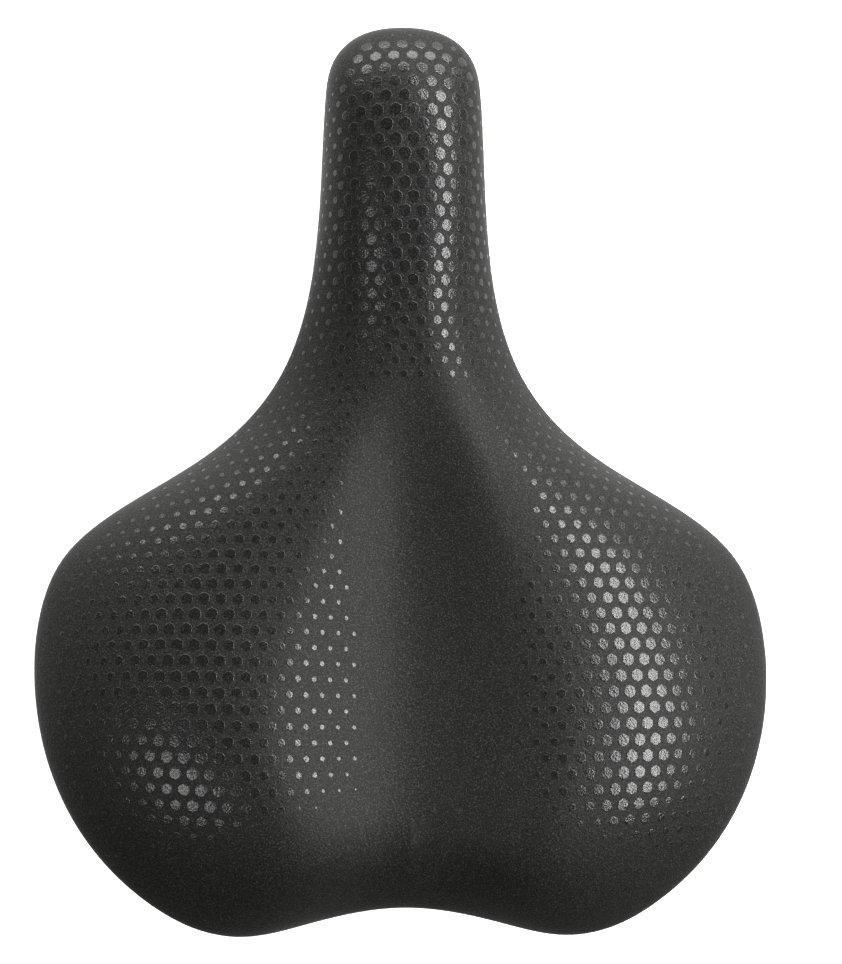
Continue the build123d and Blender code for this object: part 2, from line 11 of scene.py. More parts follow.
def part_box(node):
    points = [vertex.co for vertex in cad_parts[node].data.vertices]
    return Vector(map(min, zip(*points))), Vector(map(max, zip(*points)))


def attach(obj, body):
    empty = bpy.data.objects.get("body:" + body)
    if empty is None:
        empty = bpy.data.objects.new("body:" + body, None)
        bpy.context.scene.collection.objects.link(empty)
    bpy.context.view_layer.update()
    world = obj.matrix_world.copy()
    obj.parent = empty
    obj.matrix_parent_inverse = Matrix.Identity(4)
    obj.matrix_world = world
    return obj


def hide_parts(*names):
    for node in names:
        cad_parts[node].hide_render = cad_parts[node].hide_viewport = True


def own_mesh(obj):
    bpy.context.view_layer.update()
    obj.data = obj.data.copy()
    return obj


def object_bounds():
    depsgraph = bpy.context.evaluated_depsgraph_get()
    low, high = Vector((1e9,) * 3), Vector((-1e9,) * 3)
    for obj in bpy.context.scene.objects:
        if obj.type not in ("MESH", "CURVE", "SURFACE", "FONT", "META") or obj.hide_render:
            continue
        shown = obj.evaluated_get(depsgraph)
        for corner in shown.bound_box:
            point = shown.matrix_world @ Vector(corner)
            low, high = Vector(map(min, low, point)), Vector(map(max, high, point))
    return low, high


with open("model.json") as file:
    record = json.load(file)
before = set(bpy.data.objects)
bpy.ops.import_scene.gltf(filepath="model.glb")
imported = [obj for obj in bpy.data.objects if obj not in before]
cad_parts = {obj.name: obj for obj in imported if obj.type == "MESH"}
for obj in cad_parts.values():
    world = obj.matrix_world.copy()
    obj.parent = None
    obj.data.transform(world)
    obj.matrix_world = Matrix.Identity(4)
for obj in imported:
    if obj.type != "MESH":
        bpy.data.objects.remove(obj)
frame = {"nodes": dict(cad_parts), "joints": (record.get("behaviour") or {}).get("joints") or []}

# A wide comfort saddle for an upright city bicycle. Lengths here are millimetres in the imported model's own
# frame (+Y to the nose, +Z up, +X to the rider's right), and meshes are scaled to metres as they are made.
MM = 0.001
CAD_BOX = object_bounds()

# ---- the seat's form, as in the CAD source ----
NOSE_Y = 140.0
REAR_Y = -118.0
HALF_OUTLINE = [
    (0, NOSE_Y), (13.6, 137), (19.6, 130.9), (22.2, 119), (23.3, 97), (25.2, 73), (28.4, 56.5),
    (35.2, 39.8), (49.8, 22.7), (67, 11), (84.7, 0), (96.8, -11.6), (103, -26.8), (104.7, -45),
    (101.2, -68), (90.4, -90.5), (73.2, -108), (57.5, -116.3), (46.5, REAR_Y), (27, -114.3), (0, -110),
]
SPINE_TOP = [(140, 66), (105, 69), (70, 67.5), (35, 64), (0, 62.5), (-40, 66), (-80, 71.5), (-118, 73)]
LOBE_RISE = [(140, 0), (75, 0), (40, 0.8), (0, 6.5), (-45, 11), (-85, 11), (-118, 9)]
LOBE_X = [(140, 12), (70, 16), (30, 20), (0, 27), (-25, 38), (-50, 45), (-85, 45), (-118, 40)]
SIDE_Z = [(140, 49), (90, 48), (40, 43), (0, 40), (-60, 49), (-118, 54)]
EDGE_Z = [(150, 37.5), (100, 35), (50, 33), (0, 33), (-60, 36), (-100, 40), (-130, 44)]
ROLL_WIDTH = [(140, 46), (60, 46), (25, 72), (0, 84), (-30, 76), (-60, 66), (-118, 60)]
DOME = [(140, 0), (90, 0), (50, 0.75), (25, 0.8), (0, 0.7), (-45, 0.6), (-118, 0.6)]
SPINE_FRONT_Y = 113.0
SPINE_REAR_Y = -84.0
ROLL_SHARE = 0.93
TUCK = 5.0

# ---- the skin, and the coarser grid on which its flat cut is found ----
SKIN = 1.2
HEM_WIDTH = 9.0
NOSE_BLOCK_GAP = 1.2
FOLD = 1.8
PLEAT_PITCH = 5.2
PLEAT_DEPTH = 0.35
COLUMNS = 181
ROWS = 97
HEM_ROWS = 7
FLAT_COLUMNS = 61
FLAT_ROWS = 49
FLAT_REACH = 41

# ---- the raised dots; each table holds positions and values, with straight lines between them ----
DOT_PITCH = 4.85
DOT_ROW_PITCH = 4.05
DOT_RADIUS = 1.95
DOT_HEIGHT = 0.07
DOT_CORNERS = 12
SMALLEST_DOT = 0.27
ROW_PITCH_SHARE = ((-80, -40, 60, 140), (1.10, 1.10, 0.95, 0.95))
LEFT_BARE = ((-80, -36, -14, 14, 26, 37, 40), (15.6, 15.6, 18.6, 18.5, 17, 14, 8))
RIGHT_BARE = ((-80, -46, -24, -10, 4, 11, 23, 37, 40), (19, 19, 26, 32, 34.5, 30, 24, 17, 8))
LATTICE_MARK = (8.5, 74.2)
PRINT_CENTRE_X = 1.0
BARE_HALF_WIDTH = 17
BARE_END_Y = 40
GROWTH_FROM_EDGE = ((0, 0.05, 0.13, 0.2, 0.32, 0.6), (0.28, 0.36, 0.53, 0.7, 0.97, 1))
GROWTH_AT_NOSE_TIP = ((2.4, 3.4), (0, 0.9))
GROWTH_FROM_CHANNEL = ((0, 7, 14, 29, 42), (0.35, 0.39, 0.48, 0.78, 1))
GROWTH_TOWARD_NOSE = ((22, 30, 40, 60, 70), (0.33, 0.4, 0.54, 0.8, 0.95))


def smooth(knots, values, start_slope=None, end_slope=None):
    """A cubic spline through the values, as a function of the knots' variable."""
    t, v = np.asarray(knots, float), np.asarray(values, float)
    if t[0] > t[-1]:
        t, v = t[::-1], v[::-1]
    n, h = len(t), np.diff(t)
    a, b = np.zeros((n, n)), np.zeros(n)
    for i in range(1, n - 1):
        a[i, i - 1 : i + 2] = h[i - 1], 2 * (h[i - 1] + h[i]), h[i]
        b[i] = 6 * ((v[i + 1] - v[i]) / h[i] - (v[i] - v[i - 1]) / h[i - 1])
    a[0, 0] = a[-1, -1] = 1
    if start_slope is not None:
        a[0, :2] = 2 * h[0], h[0]
        b[0] = 6 * ((v[1] - v[0]) / h[0] - start_slope)
    if end_slope is not None:
        a[-1, -2:] = h[-1], 2 * h[-1]
        b[-1] = 6 * (end_slope - (v[-1] - v[-2]) / h[-1])
    bend = np.linalg.solve(a, b)

    def at(x):
        x = np.clip(np.asarray(x, float), t[0], t[-1])
        i = np.clip(np.searchsorted(t, x) - 1, 0, n - 2)
        p, q = t[i + 1] - x, x - t[i]
        return (
            (bend[i] * p**3 + bend[i + 1] * q**3) / (6 * h[i])
            + (v[i] / h[i] - bend[i] * h[i] / 6) * p
            + (v[i + 1] / h[i] - bend[i + 1] * h[i] / 6) * q
        )

    return at


def profile(pairs):
    """The spline through (variable, value) pairs."""
    return smooth([p[0] for p in pairs], [p[1] for p in pairs])


spine_top, lobe_rise, lobe_x = profile(SPINE_TOP), profile(LOBE_RISE), profile(LOBE_X)
side_z, edge_z = profile(SIDE_Z), profile(EDGE_Z)
roll_width, dome = profile(ROLL_WIDTH), profile(DOME)


def outline(count):
    """Points at even steps round the right half of the plan, each with the spine point it fans out from."""
    p = np.array(HALF_OUTLINE, float)
    t = np.r_[0, np.cumsum(np.linalg.norm(np.diff(p, axis=0), axis=1))]
    s = np.linspace(0, t[-1], count)
    xy = np.c_[smooth(t, p[:, 0], 1, -1)(s), smooth(t, p[:, 1], 0, 0)(s)]
    xy[[0, -1], 0] = 0
    travel = np.abs(np.diff(xy[:, 1])) + 0.35 * np.abs(np.diff(xy[:, 0]))
    share = np.r_[0, np.cumsum(travel)] / travel.sum()
    return xy, np.c_[np.zeros(count), SPINE_FRONT_Y + (SPINE_REAR_Y - SPINE_FRONT_Y) * share]


def eased_minimum(a, b):
    """The smaller of two lengths, easing from one to the other where they are close."""
    return (a**-4.0 + b**-4.0) ** -0.25


def crown(plan):
    """Height of the top before it turns over its edge: a spine with a lobe on each side."""
    x, y = plan[:, 0], plan[:, 1]
    reach = np.clip(np.abs(x) / lobe_x(y), 0, 1)
    return spine_top(y) + lobe_rise(y) * (1 - np.cos(math.pi * reach)) / 2


def seat_grid(columns, rows):
    """The right half's outer face, (columns, rows, 3): each column runs from the spine to the lower edge."""
    xy, spine = outline(columns)
    toward = spine - xy
    reach = np.linalg.norm(toward, axis=1)
    toward /= reach[:, None]
    roll = eased_minimum(roll_width(xy[:, 1]), ROLL_SHARE * reach)
    round_share = dome(xy[:, 1])
    bottom, shoulder = edge_z(xy[:, 1]), side_z(xy[:, 1])
    stations = [((1 - roll / reach) * share, 0.0, 0.0) for share in np.linspace(0, 1, 24)[:-1]]
    for angle in np.linspace(0, math.pi / 2, 61):
        over = round_share * math.sin(angle) ** 2 + (1 - round_share) * (1 - math.cos(angle))
        stations.append((1 - roll / reach * (1 - math.sin(angle)), over, 0.0))
    stations += [(np.ones(columns), 1.0, share) for share in np.linspace(0, 1, 24)[1:]]
    grid = []
    for along, over, share in stations:
        plan = spine + (xy - spine) * along[:, None]
        drop = share * (shoulder - bottom)
        tucked = TUCK * (1 - np.cos(drop / (shoulder - bottom) * math.pi / 2))
        height = crown(plan) * (1 - over) + shoulder * over - drop
        grid.append(np.c_[plan + toward * tucked[:, None], height])
    return np.array([resampled(column, rows) for column in np.array(grid).transpose(1, 0, 2)])


def resampled(line, count, end=0.0):
    """The line's points at even steps of its length, leaving off a length at its end."""
    t = np.r_[0, np.cumsum(np.linalg.norm(np.diff(line, axis=0), axis=1))]
    even = np.linspace(0, t[-1] - end, count)
    return np.c_[tuple(np.interp(even, t, line[:, axis]) for axis in range(3))]


def half_index(columns, rows):
    """Vertex numbers of both halves' grids, (side, column, row): they share the spine and the end columns."""
    index = np.zeros((2, columns, rows), int)
    index[0] = np.arange(columns * rows).reshape(columns, rows)
    index[1] = index[0]
    own = (slice(1, columns - 1), slice(1, rows))
    count = (columns - 2) * (rows - 1)
    index[(1, *own)] = columns * rows + np.arange(count).reshape(columns - 2, rows - 1)
    return index


def both_halves(grid, left=None):
    """Points, quads and vertex numbers of the whole surface: the right half's grid and its mirror."""
    columns, rows = grid.shape[:2]
    index = half_index(columns, rows)
    mirrored = (grid if left is None else left) * (-1, 1, 1)
    points = np.zeros((index.max() + 1, 3))
    points[index[1]] = mirrored
    points[index[0]] = grid
    a, b, c, d = index[:, :-1, :-1], index[:, :-1, 1:], index[:, 1:, 1:], index[:, 1:, :-1]
    right = np.stack([d[0], c[0], b[0], a[0]], -1).reshape(-1, 4)
    left_side = np.stack([a[1], b[1], c[1], d[1]], -1).reshape(-1, 4)
    return points, np.vstack([right, left_side]), index


def new_piece(name, points, faces, material):
    """A smooth-shaded mesh object from points in millimetres."""
    mesh = bpy.data.meshes.new(name)
    mesh.from_pydata((np.asarray(points) * MM).tolist(), [], [tuple(map(int, f)) for f in faces])
    mesh.polygons.foreach_set("use_smooth", [True] * len(mesh.polygons))
    mesh.materials.append(material)
    mesh.validate()
    mesh.update()
    piece = bpy.data.objects.new(name, mesh)
    bpy.context.scene.collection.objects.link(piece)
    return piece


# ---- materials ----


def node_material(name, colour, roughness, metallic=0.0, **sockets):
    """A principled material with object coordinates ready, and its constant values set on the shader."""
    material = bpy.data.materials.new(name)
    material.use_nodes = True
    nodes, links = material.node_tree.nodes, material.node_tree.links
    shader = nodes["Principled BSDF"]
    shader.inputs["Base Color"].default_value = (*colour, 1)
    shader.inputs["Roughness"].default_value = roughness
    shader.inputs["Metallic"].default_value = metallic
    for socket, value in sockets.items():
        shader.inputs[socket.replace("_", " ")].default_value = value
    place = nodes.new("ShaderNodeTexCoord").outputs["Object"]
    return material, nodes, links, shader, place


def noise(nodes, links, place, size, detail=2.0, stretch=None):
    """A noise whose features are about size metres."""
    if stretch is not None:
        mapping = nodes.new("ShaderNodeMapping")
        mapping.inputs["Scale"].default_value = stretch
        links.new(place, mapping.inputs["Vector"])
        place = mapping.outputs["Vector"]
    texture = nodes.new("ShaderNodeTexNoise")
    texture.inputs["Scale"].default_value = 1 / size
    texture.inputs["Detail"].default_value = detail
    links.new(place, texture.inputs["Vector"])
    return texture.outputs["Fac"]


def cells(nodes, links, place, size):
    """Distance from the middle of cells that are about size metres across."""
    texture = nodes.new("ShaderNodeTexVoronoi")
    texture.inputs["Scale"].default_value = 1 / size
    links.new(place, texture.inputs["Vector"])
    return texture.outputs["Distance"]


def ranged(nodes, links, value, low, high, to_low, to_high):
    """The value with low..high stretched to to_low..to_high, and held at those ends."""
    node = nodes.new("ShaderNodeMapRange")
    for socket, number in (("From Min", low), ("From Max", high), ("To Min", to_low), ("To Max", to_high)):
        node.inputs[socket].default_value = number
    links.new(value, node.inputs["Value"])
    return node.outputs["Result"]


def mixed(nodes, links, share, first, second):
    """A colour between first and second, each a tuple or another node's output."""
    node = nodes.new("ShaderNodeMix")
    node.data_type = "RGBA"
    for socket, colour in ((6, first), (7, second)):
        if isinstance(colour, tuple):
            node.inputs[socket].default_value = (*colour, 1)
        else:
            links.new(colour, node.inputs[socket])
    links.new(share, node.inputs[0])
    return node.outputs[2]


def bumped(nodes, links, shader, *layers):
    """Bump layers, each (height, distance in metres, strength), laid over each other."""
    normal = None
    for height, distance, strength in layers:
        bump = nodes.new("ShaderNodeBump")
        bump.inputs["Distance"].default_value = distance
        bump.inputs["Strength"].default_value = strength
        links.new(height, bump.inputs["Height"])
        if normal is not None:
            links.new(normal, bump.inputs["Normal"])
        normal = bump.outputs["Normal"]
    links.new(normal, shader.inputs["Normal"])


def leatherette(name, colour, glint_colour, roughness, grain_strength, **sockets):
    """Matt leatherette: a fine pebbled grain whose colour carries painted light and shade, darker in the
    grain's hollows and lighter between them, with light specks that are painted glints, and faint uneven
    gloss.
    """
    material, nodes, links, shader, place = node_material(name, colour, roughness, **sockets)
    fine = noise(nodes, links, place, 0.00042, 3)
    # Painted shade of the grain: a fine noise darkens the colour in the grain's hollows and lightens it
    # between them.
    hollow_shade_mask = ranged(nodes, links, noise(nodes, links, place, 0.00040, 2), 0.38, 0.60, 0, 1)
    # Painted glints: the light specks mix a much brighter colour into the grain.
    glint_mask = ranged(nodes, links, noise(nodes, links, place, 0.00036, 1), 0.54, 0.72, 0, 1)
    shade = mixed(nodes, links, hollow_shade_mask, tuple(0.35 * c for c in colour), tuple(1.6 * c for c in colour))
    links.new(mixed(nodes, links, glint_mask, shade, glint_colour), shader.inputs["Base Color"])
    gloss = ranged(nodes, links, fine, 0.3, 0.7, roughness - 0.06, roughness + 0.06)
    links.new(gloss, shader.inputs["Roughness"])
    pebbles = cells(nodes, links, place, 0.0007)
    bumped(nodes, links, shader, (pebbles, 0.00014, grain_strength), (fine, 0.00012, grain_strength))
    return material


def skin_material():
    # The second colour is the painted glint colour of the grain's light specks.
    return leatherette("skin_leatherette", (0.0056, 0.0059, 0.0053), (0.052, 0.053, 0.049), 0.58, 0.5,
                       Sheen_Weight=0.19, Sheen_Roughness=0.25, Sheen_Tint=(0.88, 0.90, 0.82, 1),
                       Specular_IOR_Level=0.24)


def dot_material():
    # The second colour is the painted glint colour of the print's light specks.
    return leatherette("dot_print", (0.0034, 0.0036, 0.0034), (0.028, 0.029, 0.028), 0.285, 0.4,
                       Sheen_Weight=0.14, Sheen_Roughness=0.25, Sheen_Tint=(0.88, 0.90, 0.82, 1),
                       Specular_IOR_Level=0.60)


def moulded(name, colour, roughness, grain=0.0007, strength=0.25, **sockets):
    """Injection-moulded plastic or rubber with a spark-eroded texture."""
    material, nodes, links, shader, place = node_material(name, colour, roughness, **sockets)
    fine, broad = noise(nodes, links, place, grain, 3), noise(nodes, links, place, 0.018, 3)
    patches = ranged(nodes, links, broad, 0.3, 0.7, 0, 1)
    shade = mixed(nodes, links, patches, tuple(0.82 * c for c in colour), tuple(1.2 * c for c in colour))
    links.new(shade, shader.inputs["Base Color"])
    gloss = ranged(nodes, links, broad, 0.3, 0.7, roughness - 0.07, roughness + 0.07)
    links.new(gloss, shader.inputs["Roughness"])
    bumped(nodes, links, shader, (fine, 0.00006, strength))
    return material


def metal(name, colour, roughness, stretch=(1, 1, 1), grain=0.0006, strength=0.15, spread=0.08):
    """Metal with drawn or brushed marks along one direction and a little tarnish."""
    material, nodes, links, shader, place = node_material(name, colour, roughness, 1.0)
    marks = noise(nodes, links, place, grain, 4, stretch)
    stains = noise(nodes, links, place, 0.012, 4)
    tarnish = ranged(nodes, links, stains, 0.35, 0.75, 0, 1)
    shade = mixed(nodes, links, tarnish, colour, tuple(0.72 * c for c in colour))
    links.new(shade, shader.inputs["Base Color"])
    gloss = ranged(nodes, links, marks, 0.3, 0.7, roughness - spread, roughness + spread)
    links.new(gloss, shader.inputs["Roughness"])
    bumped(nodes, links, shader, (marks, 0.00003, strength))
    return material


def powder_coat(name, colour):
    """Black powder coat with a fine orange peel."""
    coat = {"Coat_Weight": 0.25, "Coat_Roughness": 0.3}
    material, nodes, links, shader, place = node_material(name, colour, 0.42, **coat)
    peel, wear = noise(nodes, links, place, 0.0012, 2), noise(nodes, links, place, 0.008, 4)
    links.new(ranged(nodes, links, wear, 0.3, 0.7, 0.36, 0.5), shader.inputs["Roughness"])
    links.new(mixed(nodes, links, wear, colour, tuple(1.5 * c for c in colour)), shader.inputs["Base Color"])
    bumped(nodes, links, shader, (peel, 0.00008, 0.3))
    return material


ZINC_NODES = (
    "bridge_rivets", "lower_studs", "upper_studs", "stud_washers", "stud_nuts",
    "nose_cap_screws", "rear_clip_screws",
)


def node_finishes():
    """The material of each CAD node that stays shown."""
    base = moulded("base_plastic", (0.022, 0.022, 0.023), 0.48)
    clip = moulded("clip_plastic", (0.016, 0.016, 0.017), 0.38, 0.0009, 0.15)
    foam = moulded("foam", (0.16, 0.15, 0.13), 0.9, 0.0012, 0.5)
    gel = moulded("gel", (0.25, 0.33, 0.42), 0.25, 0.004, 0.1, Subsurface_Weight=0.3)
    bush = moulded("bush_rubber", (0.018, 0.018, 0.018), 0.7, 0.0008, 0.3)
    rail = metal("rail_steel", (0.56, 0.57, 0.58), 0.24, (1, 0.25, 1), 0.0009, 0.04, 0.05)
    bridge = powder_coat("bridge_steel", (0.020, 0.020, 0.021))
    cups = powder_coat("cup_steel", (0.028, 0.028, 0.029))
    zinc = metal("zinc_steel", (0.62, 0.63, 0.62), 0.32, strength=0.25)
    staple = metal("staple_steel", (0.60, 0.60, 0.58), 0.3)
    finishes = {
        "base_shell": base, "nose_cap": base, "rear_clip": clip, "foam_pad": foam, "nose_bush": bush,
        "rail_wire": rail, "rear_bridge": bridge, "cover_staples": staple,
    }
    for side in ("left", "right"):
        finishes[f"gel_pad_{side}"] = gel
        finishes[f"rail_strap_{side}"] = bridge
        finishes[f"lower_cup_{side}"] = finishes[f"upper_cup_{side}"] = cups
    for node in ZINC_NODES:
        finishes[node] = zinc
    return finishes


def dress_nodes():
    """Gives each shown CAD node its material."""
    for name, material in node_finishes().items():
        mesh = frame["nodes"][name].data
        mesh.materials.clear()
        mesh.materials.append(material)


# ---- the cover ----


def fold(wall_end, inward, count=5):
    """A rounded fold from the foot of the side wall to the start of the hem."""
    corner, start = wall_end[-1], wall_end[0]
    end = corner + inward * FOLD
    t = np.linspace(0, 1, count + 1)[1:, None]
    return (1 - t) ** 2 * start + 2 * t * (1 - t) * corner + t**2 * end


def hem_reach(corner, inward, block):
    """How far the hem runs in from the lower edge before it meets the nose block's cut-out."""
    width = HEM_WIDTH
    (x0, y0), (x1, y1) = block
    while width > FOLD + 1:
        x, y = (corner + inward * width)[:2]
        if not (x0 < x < x1 and y0 < y < y1):
            break
        width -= 0.1
    return width


def skin_columns(grid, phase):
    """The grid's columns, each carried on round the fold and in along the hem, which has gathered pleats."""
    low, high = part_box("nose_cap")
    block = (
        (low.x / MM - NOSE_BLOCK_GAP, low.y / MM - NOSE_BLOCK_GAP),
        (high.x / MM + NOSE_BLOCK_GAP, high.y / MM + NOSE_BLOCK_GAP),
    )
    xy, spine = outline(COLUMNS)
    length = np.r_[0, np.cumsum(np.linalg.norm(np.diff(xy, axis=0), axis=1))]
    turn = np.abs(np.gradient(np.unwrap(np.arctan2(*np.gradient(xy, axis=0).T)), length))
    gather = 0.35 + 0.65 * np.clip(turn / 0.03, 0, 1)
    gather[[0, -1]] = 0
    skin = []
    for j, column in enumerate(grid):
        inward = np.append(spine[j] - xy[j], 0)
        inward /= np.linalg.norm(inward)
        wall = resampled(column, ROWS, end=FOLD)
        corner = column[-1]
        turned = fold(np.array([wall[-1], corner]), inward)
        width = hem_reach(corner, inward, block)
        uneven = 0.9 * math.sin(length[j] / 11 + phase)
        wave = math.sin(2 * math.pi * length[j] / PLEAT_PITCH + phase + uneven)
        crease = gather[j] * PLEAT_DEPTH * (max(wave, 0) ** 2)
        hem = []
        for share in np.linspace(0, 1, HEM_ROWS + 1)[1:]:
            point = corner + inward * (FOLD + share * (width - FOLD))
            hem.append(point - (0, 0, crease * share))
        skin.append(np.vstack([wall, turned, hem]))
    return np.array(skin)


def make_cover(material):
    """The skin in its real thickness, folded under the base and pleated along its hem."""
    grid = seat_grid(COLUMNS, 4 * ROWS)
    points, faces, _ = both_halves(skin_columns(grid, 0.0), skin_columns(grid, 2.1))
    cover = new_piece("cover_skin", points, faces, material)
    thickness = cover.modifiers.new("thickness", "SOLIDIFY")
    thickness.thickness = SKIN * MM
    thickness.offset = -1
    thickness.use_even_offset = False
    bpy.context.view_layer.update()
    applied = bpy.data.meshes.new_from_object(cover.evaluated_get(bpy.context.evaluated_depsgraph_get()))
    cover.modifiers.clear()
    cover.data = applied
    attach(cover, "seat")
    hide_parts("cover")


# ---- the dots: a lattice on the flat sheet, laid over the form ----


def flattened(grid):
    """The skin's flat cut, in millimetres: (side, column, row, 2) for the grid's columns and rows."""
    points, faces, index = both_halves(grid)
    sheet = new_piece("flat_sheet", points, faces, None)
    bpy.context.view_layer.objects.active = sheet
    sheet.select_set(True)
    bpy.ops.object.mode_set(mode="EDIT")
    bpy.ops.mesh.select_all(action="SELECT")
    bpy.ops.uv.unwrap(method="MINIMUM_STRETCH", margin=0)
    bpy.ops.object.mode_set(mode="OBJECT")
    loops = np.zeros(len(sheet.data.loops), int)
    uv = np.zeros(2 * len(loops))
    sheet.data.loops.foreach_get("vertex_index", loops)
    sheet.data.uv_layers.active.uv.foreach_get("vector", uv)
    flat = np.zeros((len(points), 2))
    flat[loops] = uv.reshape(-1, 2)
    bpy.data.objects.remove(sheet)
    return fitted(flat, points)[index]


def fitted(flat, points):
    """The flat cut turned and scaled so that it best matches the plan over the middle of the seat."""
    near = points[:, 2] > 62
    a, b = flat[near], points[near, :2]
    mean_a, mean_b = a.mean(0), b.mean(0)
    u, _, vt = np.linalg.svd((a - mean_a).T @ (b - mean_b))
    turned = (flat - mean_a) @ (u @ vt)
    edges = [np.linalg.norm(np.diff(x, axis=0), axis=1) for x in (turned[near], points[near])]
    scale = np.median(edges[1] / np.maximum(edges[0], 1e-12))
    return turned * scale + mean_b


def finer(flat):
    """Values for every column and row of the full grid, from those of the flat cut."""
    known_columns, known_rows = np.arange(FLAT_COLUMNS), np.arange(FLAT_REACH)
    per_column, per_row = (COLUMNS - 1) // (FLAT_COLUMNS - 1), (ROWS - 1) // (FLAT_ROWS - 1)
    at_columns = np.arange(COLUMNS) / per_column
    at_rows = np.arange((FLAT_REACH - 1) * per_row + 1) / per_row
    dense = np.zeros((2, COLUMNS, len(at_rows), 2))
    for side, half in enumerate(flat):
        for axis in range(2):
            across = np.array([np.interp(at_columns, known_columns, half[:, i, axis]) for i in known_rows])
            for j in range(COLUMNS):
                dense[side, j, :, axis] = np.interp(at_rows, known_rows, across[:, j])
    return dense


def edge_distance(plan):
    """Distance in plan from each point to the seat's outline."""
    ring, _ = outline(241)
    ring = np.vstack([ring, ring * (-1, 1)])
    return np.min(np.linalg.norm(plan[:, None] - ring[None], axis=2), axis=1)


def dot_radii(plan):
    """Each dot's radius: largest on the nose and on the lobes, none in the channel or behind the lobes."""
    x, y = plan[:, 0] - PRINT_CENTRE_X, plan[:, 1]
    edge = edge_distance(plan)
    spine = np.hypot(x, y - np.clip(y, SPINE_REAR_Y, SPINE_FRONT_Y))
    body = np.interp(edge / (edge + spine), *GROWTH_FROM_EDGE)
    ahead = np.clip(1.6 * (y - SPINE_FRONT_Y) / np.maximum(spine, 1) - 0.3, 0, 1)
    body = body * (1 - ahead) + ahead * np.interp(edge, *GROWTH_AT_NOSE_TIP)
    bare = np.where(x > 0, np.interp(y, *RIGHT_BARE), np.interp(y, *LEFT_BARE))
    outward = np.abs(x) - BARE_HALF_WIDTH
    beside = np.interp(outward, *GROWTH_FROM_CHANNEL)
    nose = np.where(y > GROWTH_TOWARD_NOSE[0][0], np.interp(y, *GROWTH_TOWARD_NOSE), 0)
    rear_end = -80 - 0.33 * np.maximum(outward, 0)
    rear = np.clip((y - rear_end) / 11, 0, 1) ** 0.7
    printed = (np.abs(x) > bare) | (y > BARE_END_Y)
    return DOT_RADIUS * body * np.maximum(beside, nose) * rear * printed


def lattice_rows(low, high):
    """Each row of the lattice with its height on the flat cut: rows lie wider apart on the lobes."""
    rows = {0: LATTICE_MARK[1]}
    for way in (1, -1):
        row = 0
        while low < rows[row] < high:
            step = DOT_ROW_PITCH * float(np.interp(rows[row], *ROW_PITCH_SHARE))
            rows[row + way] = rows[row] + way * step
            row += way
    return rows.items()


def lattice(flat):
    """Points of a staggered lattice that covers the flat cut."""
    low, high = flat.reshape(-1, 2).min(0), flat.reshape(-1, 2).max(0)
    points = []
    for row, y in lattice_rows(low[1], high[1]):
        start = LATTICE_MARK[0] + DOT_PITCH / 2 * (row % 2)
        points += [(start + step * DOT_PITCH, y) for step in range(-60, 61)]
    return [(x, y) for x, y in points if low[0] < x < high[0]]


def dot_rings():
    """A dot's rings from its sunk foot to its flat top, as (scale, share of its height)."""
    return [(1.0, -0.5), (0.97, 0.7), (0.9, 1.0), (0.72, 1.0)]


def hexagon(angle, radius):
    """Distance from the middle to the edge of a rounded hexagon with corners up and down."""
    within = (angle - math.pi / 2 + math.pi / 6) % (math.pi / 3) - math.pi / 6
    return radius * (0.45 + 0.55 * math.cos(math.pi / 6) / math.cos(math.pi / 6 - abs(within)))


class Drape:
    """Maps points of the flat cut on to the seat's outer face."""

    def __init__(self, flat, grid):
        self.triangles, self.flat, self.form = [], [], []
        for side in (0, 1):
            start = len(self.flat)
            columns, rows = flat[side].shape[:2]
            own = grid[:, :rows] * ((1, 1, 1) if side == 0 else (-1, 1, 1))
            self.flat += [Vector((*p, 0)) for p in flat[side].reshape(-1, 2)]
            self.form += [Vector(p) for p in own.reshape(-1, 3)]
            for j in range(columns - 1):
                for i in range(rows - 1):
                    a = start + j * rows + i
                    self.triangles += [(a, a + 1, a + rows + 1), (a, a + rows + 1, a + rows)]
        self.tree = BVHTree.FromPolygons(self.flat, self.triangles, all_triangles=True)

    def place(self, x, y):
        """The point on the form, or None off the sheet."""
        hit = self.tree.ray_cast(Vector((x, y, 1)), Vector((0, 0, -1)))
        if hit[0] is None:
            return None
        a, b, c = self.triangles[hit[2]]
        return barycentric_transform(hit[0], self.flat[a], self.flat[b], self.flat[c],
                                     self.form[a], self.form[b], self.form[c])


def dot_outlines(drape, at, radius):
    """A dot's rings laid over the form, each with its height, or None where the dot runs off the sheet."""
    rings = []
    for scale, share in dot_rings():
        ring = []
        for k in range(DOT_CORNERS):
            angle = 2 * math.pi * k / DOT_CORNERS
            reach = scale * hexagon(angle, radius)
            ring.append(drape.place(at[0] + reach * math.cos(angle), at[1] + reach * math.sin(angle)))
        if any(point is None for point in ring):
            return None
        rings.append((ring, share * min(1, 0.5 + radius / 3) * DOT_HEIGHT))
    return rings


def outward_normal(ring, place):
    """The form's outward direction under a dot: up, or away from the seat's middle on its sides."""
    normal = (ring[3] - ring[9]).cross(ring[0] - ring[6]).normalized()
    from_middle = normal.dot(place - Vector((0, place.y, 40)))
    return normal if normal.z > 0 or place.z < 50 and from_middle > 0 else -normal


def dot_faces(start, levels):
    """A dot's walls, its fan of a top and its underside, for levels rings of points from start on."""
    faces = []
    for level in range(levels - 1):
        for k in range(DOT_CORNERS):
            a, b = start + level * DOT_CORNERS + k, start + level * DOT_CORNERS + (k + 1) % DOT_CORNERS
            faces.append((a, b, b + DOT_CORNERS, a + DOT_CORNERS))
    top, middle = start + (levels - 1) * DOT_CORNERS, start + levels * DOT_CORNERS
    faces += [(top + k, top + (k + 1) % DOT_CORNERS, middle) for k in range(DOT_CORNERS)]
    faces.append(tuple(start + k for k in reversed(range(DOT_CORNERS))))
    return faces


